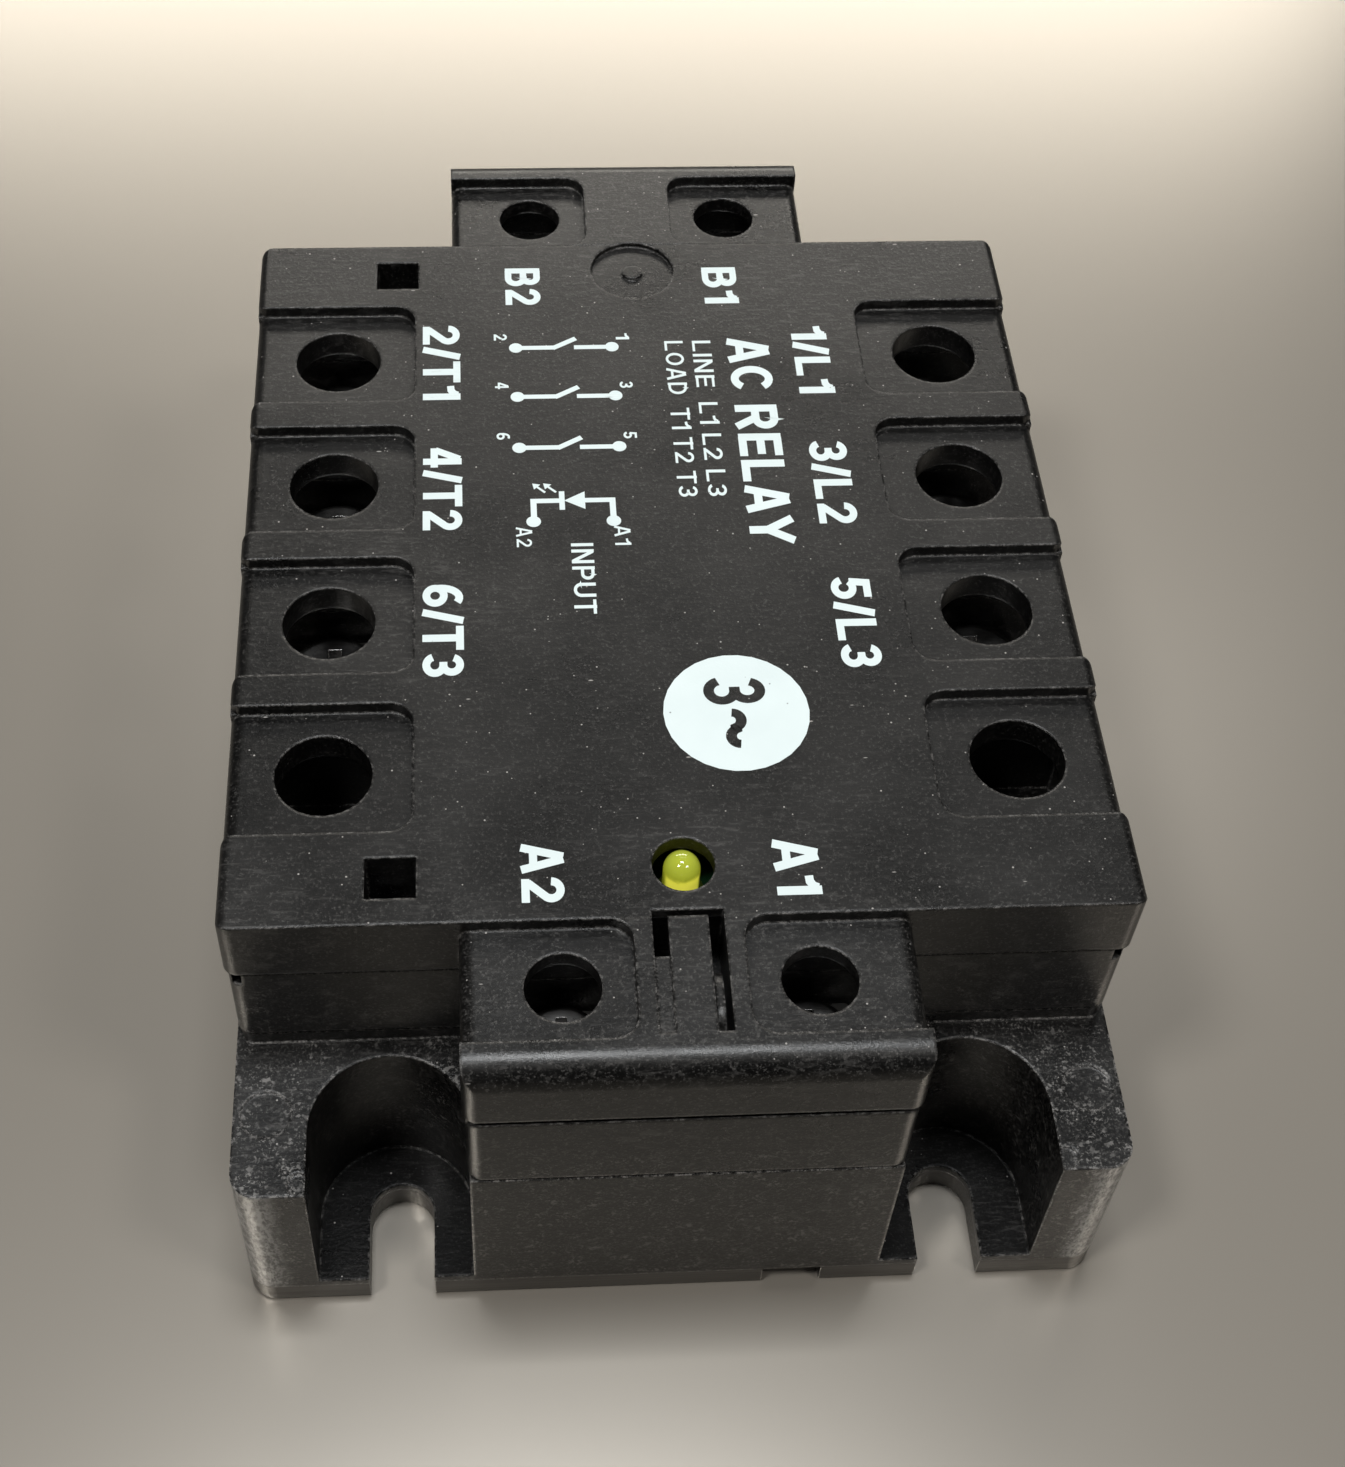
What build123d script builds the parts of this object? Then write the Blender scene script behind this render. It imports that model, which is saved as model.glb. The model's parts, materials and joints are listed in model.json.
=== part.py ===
from build123d import *
import os

os.makedirs("parts", exist_ok=True)

# All sizes are millimetres. The origin is the centre of the mounting face, +Z points up
# out of the labelled top, the control ends lie along Y and the power sides along X.

# Overall envelope
BODY_HALF_W = 37.0
BODY_HALF_L = 40.2
END_HALF_W = 18.0
HALF_L = 54.0
TOP_Z = 38.0
LABEL_DEPTH = 0.03
LABEL_Z = TOP_Z - LABEL_DEPTH

# Levels of the stacked housings
PLATE_T = 2.5
LUG_TOP_Z = 19.7
BASE_RIM_Z = 21.2
MID_BOTTOM_Z = 21.55
MID_RIM_Z = 30.7
COVER_BOTTOM_Z = 31.15
SEAM_INSET = 1.1
MID_INSET = 0.25
SEAM_LIP = 0.06
SEAM_BEVEL = (1.0, 1.7)
CORNER_R = 1.2
LUG_CORNER_R = 2.3
END_BLOCK_INSET = 0.4

# Overshoot of a cutter past the face it opens, and overlap of two joined solids
CLEAR = 1.0
EPS = 0.5

# Access pockets and driver holes in the cover
POCKET_FLOOR_Z = 36.8
POWER_ROOF_Z = 34.1
CONTROL_ROOF_Z = 35.2
POWER_X = 29.0
POWER_PITCH = 16.5
POWER_HOLE_R = 4.05
POWER_POCKET_X = 21.6
POWER_POCKET_HALF = 6.55
CONTROL_X = 10.0
CONTROL_Y = 45.6
CONTROL_HOLE_R = 3.05
CONTROL_POCKET_X = 4.35
LEDGE_Y = 50.8
POCKET_CORNER_R = 2.0
POCKET_OVERRUN = 5.0
FLOOR_EDGE_R = 1.2
SIDE_EDGE_R = 0.9
END_EDGE_R = 2.3
RIB_CORNER_R = 1.0

# Small features of the cover
CORNER_HOLLOW_X = (27.4, 34.8)
CORNER_HOLLOW_Y = (33.4, 38.2)
WINDOW_X = (-25.4, -21.3)
WINDOW_Y = (33.9, 37.75)
LAMP_HOLE_Y = -35.25
LAMP_HOLE_R = 2.55
LAMP_RELIEF_R = 3.3
LAMP_RELIEF_Z = 36.45
GATE_Y = 36.3
GATE_R = 4.1
GATE_DEPTH = 0.5
GATE_PIP_R = 1.0
GATE_PIP_HEIGHT = 0.3

# Release latch between the A1 and A2 holes
LATCH_SHAFT_HALF_W = 3.0
LATCH_SHAFT_Y = (-50.7, -39.0)
LATCH_SHAFT_TOP_Z = 36.8
LATCH_SLOT_X = (1.6, 2.85)
LATCH_SLOT_Y = (-50.5, -39.55)
LATCH_END_GAP_Y = (-40.1, -39.55)
LATCH_SLOT_BOTTOM_Z = 35.0
LATCH_OPEN_Y = -43.6
LATCH_GROOVE_Y = -43.0
LATCH_GROOVE_DEPTH = 0.35

# Snap hooks and latch tongue of the middle moulding
HOOK_X = (-24.1, -22.4)
HOOK_Y = (34.6, 37.0)
HOOK_TOP_Z = 33.2
BARB_X = (-24.9, -24.0)
BARB_Z = (32.0, HOOK_TOP_Z)
TONGUE_X = (1.75, 2.4)
TONGUE_Y = (-50.1, -44.0)
TONGUE_TOP_Z = 37.2
TONGUE_END_R = 2.2

# Terminal chambers
CHAMBER_FLOOR_Z = 24.0
POWER_CHAMBER_X = (22.2, 37.6)
POWER_BLANK_X = 35.1
POWER_CHAMBER_HALF = 6.2
CONTROL_CHAMBER_X = (4.8, 15.4)
CONTROL_CHAMBER_Y = (41.4, 50.2)
CONTROL_ENTRY_HALF = 4.0
POWER_PASSAGE_HALF = 4.0
CONTROL_PASSAGE_HALF = 2.6
PASSAGE_GAP = 0.1
POWER_COLLAR_WELL = (3.6, 22.0)
POWER_SHANK_HOLE_R = 2.8
CONTROL_COLLAR_WELL = (2.5, 22.4)
CONTROL_SHANK_HOLE_R = 2.0
KEY_NOTCH_X = (35.6, 36.4)
KEY_NOTCH_Y = (38.8, 40.4)
KEY_NOTCH_Z = 29.2

# Inner cavity shared by the circuit board and the power stage
CAVITY_HALF_W = 20.2
CAVITY_HALF_L = 38.0
CAVITY_TOP_Z = 35.8

# Screw-clamp terminals
POWER_SCREW_R = 2.5
POWER_HEAD_R = 4.4
POWER_HEAD_Z = (27.5, 29.9)
POWER_TIP_Z = 18.5
POWER_BAR_Z = (24.0, 25.4)
POWER_CLAMP_Z = (25.7, 27.2)
CONTROL_SCREW_R = 1.75
CONTROL_HEAD_R = 3.3
CONTROL_HEAD_Z = (26.8, 28.8)
CONTROL_TIP_Z = 20.0
CONTROL_BAR_Z = (24.0, 25.0)
CONTROL_CLAMP_Z = (25.3, 26.5)
THREAD_GAP = 0.05
POWER_BAR_X = (18.3, 34.0)
POWER_BAR_HALF_W = 3.9
POWER_LEG_X = (18.3, 19.7)
POWER_FOOT_X = (9.9, 19.7)
POWER_FOOT_HALF_W = 3.0
POWER_COLLAR = (3.5, 22.2)
POWER_CLAMP_HALF = (4.9, 5.7)
CONTROL_BAR_Y = (35.4, 48.8)
CONTROL_BAR_HALF_W = 2.5
CONTROL_LEG_Y = (35.4, 36.4)
CONTROL_LEG_HALF_W = 1.5
CONTROL_COLLAR = (2.4, 22.6)
CONTROL_CLAMP_HALF = (3.9, 3.9)
CLAMP_CORNER_R = 0.6
GROOVE_STEPS = (-0.75, -0.5, 0.5, 0.75)
GROOVE_HALF_W = 0.25
GROOVE_DEPTH = 0.25
SLOT_DEPTH = 0.8
CROSS_DEPTH = 1.5
HEAD_EDGE_SHARE = 0.3
TIP_CHAMFER_SHARE = 0.35
SLOT_SHARE = 0.14
CROSS_SHARE = 0.6

# Mounting lugs
SLOT_X = 23.8
SLOT_HALF = 2.8
SLOT_END_Y = 48.1
WELL_X = 24.2
WELL_R = 6.7
WELL_Y = 48.2
WELL_FLOOR_Z = 3.4
EJECTOR_MARKS = ((34.3, 46.6, 2.1), (31.4, 52.9, 0.95))
EJECTOR_DEPTH = 0.12
BASE_CAVITY_HALF_W = 34.5
END_CAVITY_HALF_W = 14.6
END_CAVITY_Y = 51.4
END_CAVITY_FLOOR_Z = 4.5
PLATE_CHAMFER = 0.2
PLATE_NOTCH_X = (7.5, 12.6)
PLATE_NOTCH_DEPTH = 0.9

# Assembly screws driven from below
BOLT_X = 31.0
BOLT_Y = 35.4
BOLT_R = 1.5
BOLT_HEAD_R = 2.9
BOLT_TOP_Z = 26.5
BOLT_HOLE_R = 1.7
BOLT_COLUMN_R = 3.8
BOLT_TIP_GAP = 0.5
BOLT_HEAD_Z = (0.1, 1.6)
SINK_GAP = 0.15
SINK_DEPTH = 1.6
CROSS_HALF = (1.6, 0.3)
CROSS_TOP_Z = 0.9

# Circuit board and power stage
BOARD_Z = (27.0, 28.6)
BOARD_HALF_W = 19.7
BOARD_HALF_L = 37.3
BOARD_CORNER_R = 1.0
BOARD_LEDGE_X = 17.4
BOARD_LEDGE_Y = 34.6
BOARD_LEDGE_Z = 25.4
SUBSTRATE_HALF = (13.4, 7.2)
SUBSTRATE_TOP_Z = 3.2
CHIP_TOP_Z = 3.7
CHIP_HALF = 3.6
CHIP_X = 5.0
GATE_PIN_R = 0.4
GATE_PIN_TOP_Z = 29.6
GATE_HOLE_R = 0.5

# Status lamp
LED_Y = -34.65
LED_R = 1.53
LED_DOME_Z = 36.4
LED_FLANGE_R = 1.95
LED_FLANGE_T = 0.8
LED_LEAD_X = 1.27
LED_LEAD_R = 0.3
LED_HOLE_R = 0.4
LED_BASE_Z = 32.6
LED_LEAD_Z = (26.2, LED_BASE_Z)

# Parts on the circuit board
COUPLER_X = -12.5
COUPLER_HALF = (3.2, 4.4)
COUPLER_Z = (29.1, 32.5)
COUPLER_LEG_X = (3.0, 3.9)
COUPLER_LEG_TOP_Z = 30.9
CONTROL_CHIP_Y = -21.5
CONTROL_CHIP_HALF = (4.0, 2.5)
CONTROL_CHIP_Z = (28.9, 31.0)
CONTROL_CHIP_LEG_Y = (2.3, 3.3)
CONTROL_CHIP_LEG_TOP_Z = 30.2
LEG_ROWS = (-2.54, 0.0, 2.54)
LEG_HALF_W = 0.25
CAPACITOR_PLACE = (11.0, -28.0)
CAPACITOR_R = 3.1
CAPACITOR_TOP_Z = 34.6
CAPACITOR_EDGE_R = 0.5

PHASE_Y = (1.5 * POWER_PITCH, 0.5 * POWER_PITCH, -0.5 * POWER_PITCH)
BLANK_Y = -1.5 * POWER_PITCH
POWER_TERMINALS = {
    "T1": (-1, PHASE_Y[0]),
    "T2": (-1, PHASE_Y[1]),
    "T3": (-1, PHASE_Y[2]),
    "L1": (1, PHASE_Y[0]),
    "L2": (1, PHASE_Y[1]),
    "L3": (1, PHASE_Y[2]),
}
CONTROL_TERMINALS = {
    "A1": (1, -1),
    "A2": (-1, -1),
    "B1": (1, 1),
    "B2": (-1, 1),
}
SIDES = (-1, 1)
CORNERS = [(side, end) for side in SIDES for end in SIDES]


def block(x_span, y_span, z_span):
    """Rectangular block between two limits on each axis, given in either order."""
    x0, x1 = sorted(x_span)
    y0, y1 = sorted(y_span)
    z0, z1 = sorted(z_span)
    centre = Pos((x0 + x1) / 2, (y0 + y1) / 2, (z0 + z1) / 2)
    return centre * Box(x1 - x0, y1 - y0, z1 - z0)


def rod(x, y, radius, z_span):
    """Upright cylinder."""
    z0, z1 = sorted(z_span)
    return Pos(x, y, (z0 + z1) / 2) * Cylinder(radius, z1 - z0)


def rounded_block(x_span, y_span, z_span, radius):
    """Block with rounded upright corners."""
    solid = block(x_span, y_span, z_span)
    return fillet(solid.edges().filter_by(Axis.Z), radius)


def mirrored(span, side):
    """A pair of limits carried to the chosen side of the centre plane."""
    return (side * span[0], side * span[1])


def plan(inset, z_span, corner_r):
    """Wide body with a narrower control block at each end, shrunk by an inset."""
    body_w = BODY_HALF_W - inset
    body_l = BODY_HALF_L - inset
    end_w = END_HALF_W - inset
    end_l = HALF_L - inset
    body = rounded_block((-body_w, body_w), (-body_l, body_l), z_span, corner_r)
    ends = rounded_block((-end_w, end_w), (-end_l, end_l), z_span, corner_r)
    return body + ends


def edge_cut_along_y(side, x, z, radius, y_span):
    """Sliver that rounds an outer edge running along Y."""
    x_in = side * (x - radius)
    x_out = side * (x + EPS)
    corner = block((x_in, x_out), y_span, (z - radius, z + EPS))
    y0, y1 = sorted(y_span)
    round_bar = Pos(x_in, (y0 + y1) / 2, z - radius) * Rot(90, 0, 0) * Cylinder(radius, y1 - y0)
    return corner - round_bar


def edge_cut_along_x(side, y, z, radius, half_w):
    """Sliver that rounds an outer edge running along X."""
    y_in = side * (y - radius)
    y_out = side * (y + EPS)
    corner = block((-half_w, half_w), (y_in, y_out), (z - radius, z + EPS))
    round_bar = Pos(0, y_in, z - radius) * Rot(0, 90, 0) * Cylinder(radius, 2 * half_w)
    return corner - round_bar


def edge_cut_upright(side, x, y, y_sign, radius, z_span):
    """Sliver that rounds an upright corner; y_sign points out of the material."""
    x_in = side * (x - radius)
    y_in = y - y_sign * radius
    corner = block((x_in, side * (x + EPS)), (y_in, y + y_sign * EPS), z_span)
    return corner - rod(x_in, y_in, radius, z_span)


def power_rows():
    """Every power position on both sides, and whether it holds a terminal."""
    rows = []
    for side in SIDES:
        for y in PHASE_Y:
            rows.append((side, y, True))
        rows.append((side, BLANK_Y, False))
    return rows


def make_cover():
    """Moulded lid with recessed pockets, driver holes, lamp hole and latch openings."""
    solid = plan(0, (COVER_BOTTOM_Z, TOP_Z), CORNER_R)
    # The printed field lies a hair below the end blocks
    solid -= block((-BODY_HALF_W - CLEAR, BODY_HALF_W + CLEAR), (-BODY_HALF_L, BODY_HALF_L),
                   (LABEL_Z, TOP_Z + CLEAR))
    for side in SIDES:
        solid -= edge_cut_along_y(side, BODY_HALF_W, LABEL_Z, SIDE_EDGE_R,
                                  (-BODY_HALF_L - CLEAR, BODY_HALF_L + CLEAR))
        solid -= edge_cut_along_x(side, HALF_L, TOP_Z, END_EDGE_R, END_HALF_W + CLEAR)
    inside = (COVER_BOTTOM_Z - CLEAR, CAVITY_TOP_Z)
    solid -= block((-CAVITY_HALF_W, CAVITY_HALF_W), (-CAVITY_HALF_L, CAVITY_HALF_L), inside)

    pocket_z = (POCKET_FLOOR_Z, TOP_Z + CLEAR)
    power_z = (COVER_BOTTOM_Z - CLEAR, POWER_ROOF_Z)
    control_z = (COVER_BOTTOM_Z - CLEAR, CONTROL_ROOF_Z)
    hole_z = (POWER_ROOF_Z - CLEAR, TOP_Z)
    for side, y, live in power_rows():
        y_pocket = (y - POWER_POCKET_HALF, y + POWER_POCKET_HALF)
        solid -= rounded_block(mirrored((POWER_POCKET_X, BODY_HALF_W + POCKET_OVERRUN), side),
                               y_pocket, pocket_z, POCKET_CORNER_R)
        solid -= edge_cut_along_y(side, BODY_HALF_W, POCKET_FLOOR_Z, FLOOR_EDGE_R, y_pocket)
        for y_sign in SIDES:
            y_rib = y + y_sign * POWER_POCKET_HALF
            solid -= edge_cut_upright(side, BODY_HALF_W, y_rib, -y_sign, RIB_CORNER_R, pocket_z)
        x_out = POWER_CHAMBER_X[1] if live else POWER_BLANK_X
        solid -= block(mirrored((POWER_CHAMBER_X[0], x_out), side),
                       (y - POWER_CHAMBER_HALF, y + POWER_CHAMBER_HALF), power_z)
        solid -= rod(side * POWER_X, y, POWER_HOLE_R, hole_z)

    for side, end in CONTROL_TERMINALS.values():
        y_pocket = mirrored((BODY_HALF_L, LEDGE_Y), end)
        solid -= rounded_block(mirrored((CONTROL_POCKET_X, END_HALF_W + POCKET_OVERRUN), side),
                               y_pocket, pocket_z, POCKET_CORNER_R)
        solid -= edge_cut_along_y(side, END_HALF_W, POCKET_FLOOR_Z, FLOOR_EDGE_R, y_pocket)
        solid -= block(mirrored(CONTROL_CHAMBER_X, side), mirrored(CONTROL_CHAMBER_Y, end), control_z)
        solid -= rod(side * CONTROL_X, end * CONTROL_Y, CONTROL_HOLE_R, hole_z)

    # Hollows under the four solid corners keep the moulding to an even wall
    for side, end in CORNERS:
        solid -= block(mirrored(CORNER_HOLLOW_X, side), mirrored(CORNER_HOLLOW_Y, end), inside)
    # Latch windows beside the output row
    for end in SIDES:
        solid -= block(WINDOW_X, mirrored(WINDOW_Y, end), (COVER_BOTTOM_Z - CLEAR, TOP_Z + CLEAR))
    # Lamp hole and the shallow gate mark at the far end
    solid -= rod(0, LAMP_HOLE_Y, LAMP_HOLE_R, (CAVITY_TOP_Z - CLEAR, TOP_Z + CLEAR))
    solid -= rod(0, LAMP_HOLE_Y, LAMP_RELIEF_R, (CAVITY_TOP_Z - CLEAR, LAMP_RELIEF_Z))
    gate_floor = LABEL_Z - GATE_DEPTH
    solid -= rod(0, GATE_Y, GATE_R, (gate_floor, TOP_Z + CLEAR))
    solid += rod(0, GATE_Y, GATE_PIP_R, (gate_floor - EPS, gate_floor + GATE_PIP_HEIGHT))
    # Slots on three sides of a springy centre strip, over one hollow latch shaft
    solid -= block((-LATCH_SHAFT_HALF_W, LATCH_SHAFT_HALF_W), LATCH_SHAFT_Y,
                   (COVER_BOTTOM_Z - CLEAR, LATCH_SHAFT_TOP_Z))
    slot_z = (LATCH_SLOT_BOTTOM_Z, TOP_Z + CLEAR)
    left_x = mirrored(LATCH_SLOT_X, -1)
    solid -= block(LATCH_SLOT_X, LATCH_SLOT_Y, slot_z)
    solid -= block((left_x[0], LATCH_SLOT_X[0]), LATCH_END_GAP_Y, slot_z)
    solid -= block(left_x, (LATCH_OPEN_Y, LATCH_SLOT_Y[1]), slot_z)
    solid -= block(left_x, (LATCH_SLOT_Y[0], LATCH_GROOVE_Y), (TOP_Z - LATCH_GROOVE_DEPTH, TOP_Z + CLEAR))
    return solid


def make_terminal_housing():
    """Middle moulding that carries the clamp terminals and the circuit board."""
    solid = plan(MID_INSET, (MID_BOTTOM_Z, MID_RIM_Z), CORNER_R)
    # The control blocks reach out flush with the end faces of the cover
    end_w = END_HALF_W - MID_INSET
    solid += rounded_block((-end_w, end_w), (-HALF_L, HALF_L), (MID_BOTTOM_Z, MID_RIM_Z), CORNER_R)
    for end in SIDES:
        solid -= seam_bevel(end)
    solid += plan(SEAM_INSET, (MID_RIM_Z - CLEAR, COVER_BOTTOM_Z), CORNER_R)
    above = COVER_BOTTOM_Z + CLEAR
    below = MID_BOTTOM_Z - CLEAR
    solid -= block((-CAVITY_HALF_W, CAVITY_HALF_W), (-CAVITY_HALF_L, CAVITY_HALF_L), (below, above))
    # Ledges that hold the circuit board by its corners
    for side, end in CORNERS:
        solid += block(mirrored((BOARD_LEDGE_X, CAVITY_HALF_W + EPS), side),
                       mirrored((BOARD_LEDGE_Y, CAVITY_HALF_L + EPS), end), (BOARD_LEDGE_Z, BOARD_Z[0]))

    for side, y, live in power_rows():
        y_span = (y - POWER_CHAMBER_HALF, y + POWER_CHAMBER_HALF)
        x_out = POWER_CHAMBER_X[1] if live else POWER_BLANK_X
        solid -= block(mirrored((POWER_CHAMBER_X[0], x_out), side), y_span, (CHAMBER_FLOOR_Z, above))
        if live:
            solid -= block(mirrored((CAVITY_HALF_W - CLEAR, POWER_CHAMBER_X[0] + CLEAR), side),
                           (y - POWER_PASSAGE_HALF, y + POWER_PASSAGE_HALF),
                           (POWER_BAR_Z[0], POWER_BAR_Z[1] + PASSAGE_GAP))
            solid -= rod(side * POWER_X, y, POWER_COLLAR_WELL[0], (POWER_COLLAR_WELL[1], CHAMBER_FLOOR_Z))
            solid -= rod(side * POWER_X, y, POWER_SHANK_HOLE_R, (below, CHAMBER_FLOOR_Z))

    for side, end in CONTROL_TERMINALS.values():
        x = side * CONTROL_X
        y = end * CONTROL_Y
        solid -= block(mirrored(CONTROL_CHAMBER_X, side), mirrored(CONTROL_CHAMBER_Y, end),
                       (CHAMBER_FLOOR_Z, above))
        solid -= block(mirrored((CONTROL_CHAMBER_X[1] - CLEAR, END_HALF_W + CLEAR), side),
                       (y - CONTROL_ENTRY_HALF, y + CONTROL_ENTRY_HALF), (CHAMBER_FLOOR_Z, above))
        solid -= block((x - CONTROL_PASSAGE_HALF, x + CONTROL_PASSAGE_HALF),
                       mirrored((CAVITY_HALF_L - CLEAR, CONTROL_CHAMBER_Y[0] + CLEAR), end),
                       (CONTROL_BAR_Z[0], CONTROL_BAR_Z[1] + PASSAGE_GAP))
        solid -= rod(x, y, CONTROL_COLLAR_WELL[0], (CONTROL_COLLAR_WELL[1], CHAMBER_FLOOR_Z))
        solid -= rod(x, y, CONTROL_SHANK_HOLE_R, (below, CHAMBER_FLOOR_Z))

    for side, end in CORNERS:
        solid -= rod(side * BOLT_X, end * BOLT_Y, BOLT_R + THREAD_GAP, (below, BOLT_TOP_Z + BOLT_TIP_GAP))
        solid -= block(mirrored(KEY_NOTCH_X, side), mirrored(KEY_NOTCH_Y, end), (KEY_NOTCH_Z, above))
    # Snap hooks that stand in the cover's latch windows and release shaft
    for end in SIDES:
        solid += block(HOOK_X, mirrored(HOOK_Y, end), (COVER_BOTTOM_Z - CLEAR, HOOK_TOP_Z))
        solid += block(BARB_X, mirrored(HOOK_Y, end), BARB_Z)
    tongue = block(TONGUE_X, TONGUE_Y, (COVER_BOTTOM_Z - CLEAR, TONGUE_TOP_Z))
    solid += fillet(tongue.edges().filter_by(Axis.X).group_by(Axis.Z)[-1], TONGUE_END_R)
    return solid


def make_base_housing():
    """Lower moulding with four mounting lugs, open over the metal plate."""
    solid = rounded_block((-BODY_HALF_W, BODY_HALF_W), (-HALF_L, HALF_L), (PLATE_T, LUG_TOP_Z), LUG_CORNER_R)
    solid += plan(END_BLOCK_INSET, (PLATE_T + CLEAR, BASE_RIM_Z), CORNER_R)
    solid += plan(SEAM_INSET, (PLATE_T + CLEAR, MID_BOTTOM_Z), CORNER_R)
    above = MID_BOTTOM_Z + CLEAR
    end_w = END_HALF_W - END_BLOCK_INSET
    for side, end in CORNERS:
        well = rod(side * WELL_X, end * WELL_Y, WELL_R, (WELL_FLOOR_Z, above))
        well += block(mirrored((end_w, WELL_X + WELL_R), side), mirrored((WELL_Y, HALF_L + CLEAR), end),
                      (WELL_FLOOR_Z, above))
        solid -= well
        solid -= lug_slot(side, end, (PLATE_T - CLEAR, WELL_FLOOR_Z + CLEAR))
        for x, y, radius in EJECTOR_MARKS:
            solid -= rod(side * x, end * y, radius, (LUG_TOP_Z - EJECTOR_DEPTH, above))
    solid += block((-end_w, end_w), (-HALF_L, HALF_L), (PLATE_T, BASE_RIM_Z))
    solid -= block((-BASE_CAVITY_HALF_W, BASE_CAVITY_HALF_W), (-CAVITY_HALF_L, CAVITY_HALF_L),
                   (PLATE_T - CLEAR, above))
    for end in SIDES:
        solid -= block((-END_CAVITY_HALF_W, END_CAVITY_HALF_W),
                       mirrored((CAVITY_HALF_L - CLEAR, END_CAVITY_Y), end), (END_CAVITY_FLOOR_Z, above))
    for side, end in CORNERS:
        solid += rod(side * BOLT_X, end * BOLT_Y, BOLT_COLUMN_R, (PLATE_T, MID_BOTTOM_Z))
        solid -= rod(side * BOLT_X, end * BOLT_Y, BOLT_HOLE_R, (PLATE_T - CLEAR, above))
    return solid


def seam_bevel(end):
    """Wedge that slopes the rim of a control block down behind a thin outer lip."""
    inward, down = SEAM_BEVEL
    lip_y = end * (HALF_L - SEAM_LIP)
    profile = Polyline((lip_y, MID_RIM_Z), (lip_y - end * inward, MID_RIM_Z),
                       (lip_y - end * inward, MID_RIM_Z - down), close=True)
    return extrude(Plane.YZ * make_face(profile), END_HALF_W + CLEAR, both=True)


def lug_slot(side, end, z_span):
    """Open-ended fixing slot of one lug."""
    slot = rod(side * SLOT_X, end * SLOT_END_Y, SLOT_HALF, z_span)
    slot += block((side * SLOT_X - SLOT_HALF, side * SLOT_X + SLOT_HALF),
                  mirrored((SLOT_END_Y, HALF_L + CLEAR), end), z_span)
    return slot


def make_base_plate():
    """Flat metal heat-transfer plate with slotted lugs and countersunk holes."""
    solid = rounded_block((-BODY_HALF_W, BODY_HALF_W), (-HALF_L, HALF_L), (0, PLATE_T), LUG_CORNER_R)
    solid = chamfer(solid.edges().group_by(Axis.Z)[0], PLATE_CHAMFER)
    through = (-CLEAR, PLATE_T + CLEAR)
    for side, end in CORNERS:
        solid -= lug_slot(side, end, through)
        x = side * BOLT_X
        y = end * BOLT_Y
        solid -= rod(x, y, BOLT_HOLE_R, through)
        solid -= Pos(x, y, SINK_DEPTH / 2) * Cone(BOLT_HEAD_R + SINK_GAP, BOLT_R + SINK_GAP, SINK_DEPTH)
    solid -= block(PLATE_NOTCH_X, (-HALF_L - CLEAR, -HALF_L + PLATE_NOTCH_DEPTH), through)
    return solid


def make_assembly_screws():
    """Four countersunk screws that clamp the plate and both housings together."""
    screws = []
    head_mid = (BOLT_HEAD_Z[0] + BOLT_HEAD_Z[1]) / 2
    head_t = BOLT_HEAD_Z[1] - BOLT_HEAD_Z[0]
    long_half, short_half = CROSS_HALF
    for side, end in CORNERS:
        x = side * BOLT_X
        y = end * BOLT_Y
        screw = rod(x, y, BOLT_R, (head_mid, BOLT_TOP_Z))
        screw += Pos(x, y, head_mid) * Cone(BOLT_HEAD_R, BOLT_R, head_t)
        screw -= block((x - long_half, x + long_half), (y - short_half, y + short_half), (0, CROSS_TOP_Z))
        screw -= block((x - short_half, x + short_half), (y - long_half, y + long_half), (0, CROSS_TOP_Z))
        screws.append(screw)
    return Compound(children=screws)


def make_power_bar(side, y):
    """Bent strip from the clamp down to the power stage, with a tapped collar."""
    thickness = POWER_BAR_Z[1] - POWER_BAR_Z[0]
    y_span = (y - POWER_BAR_HALF_W, y + POWER_BAR_HALF_W)
    solid = block(mirrored(POWER_BAR_X, side), y_span, POWER_BAR_Z)
    solid += block(mirrored(POWER_LEG_X, side), y_span, (SUBSTRATE_TOP_Z, POWER_BAR_Z[1]))
    solid += block(mirrored(POWER_FOOT_X, side), (y - POWER_FOOT_HALF_W, y + POWER_FOOT_HALF_W),
                   (SUBSTRATE_TOP_Z, SUBSTRATE_TOP_Z + thickness))
    collar_r, collar_z = POWER_COLLAR
    solid += rod(side * POWER_X, y, collar_r, (collar_z, POWER_BAR_Z[0] + EPS))
    return solid - rod(side * POWER_X, y, POWER_SCREW_R + THREAD_GAP,
                       (collar_z - CLEAR, POWER_BAR_Z[1] + CLEAR))


def make_clamp(x, y, half_sides, z_span, hole_r):
    """Square pressure plate with a grooved underside."""
    half_x, half_y = half_sides
    solid = rounded_block((x - half_x, x + half_x), (y - half_y, y + half_y), z_span, CLAMP_CORNER_R)
    for step in GROOVE_STEPS:
        groove_y = y + step * half_y
        solid -= block((x - half_x - CLEAR, x + half_x + CLEAR),
                       (groove_y - GROOVE_HALF_W, groove_y + GROOVE_HALF_W),
                       (z_span[0] - CLEAR, z_span[0] + GROOVE_DEPTH))
    return solid - rod(x, y, hole_r + THREAD_GAP, (z_span[0] - CLEAR, z_span[1] + CLEAR))


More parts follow.
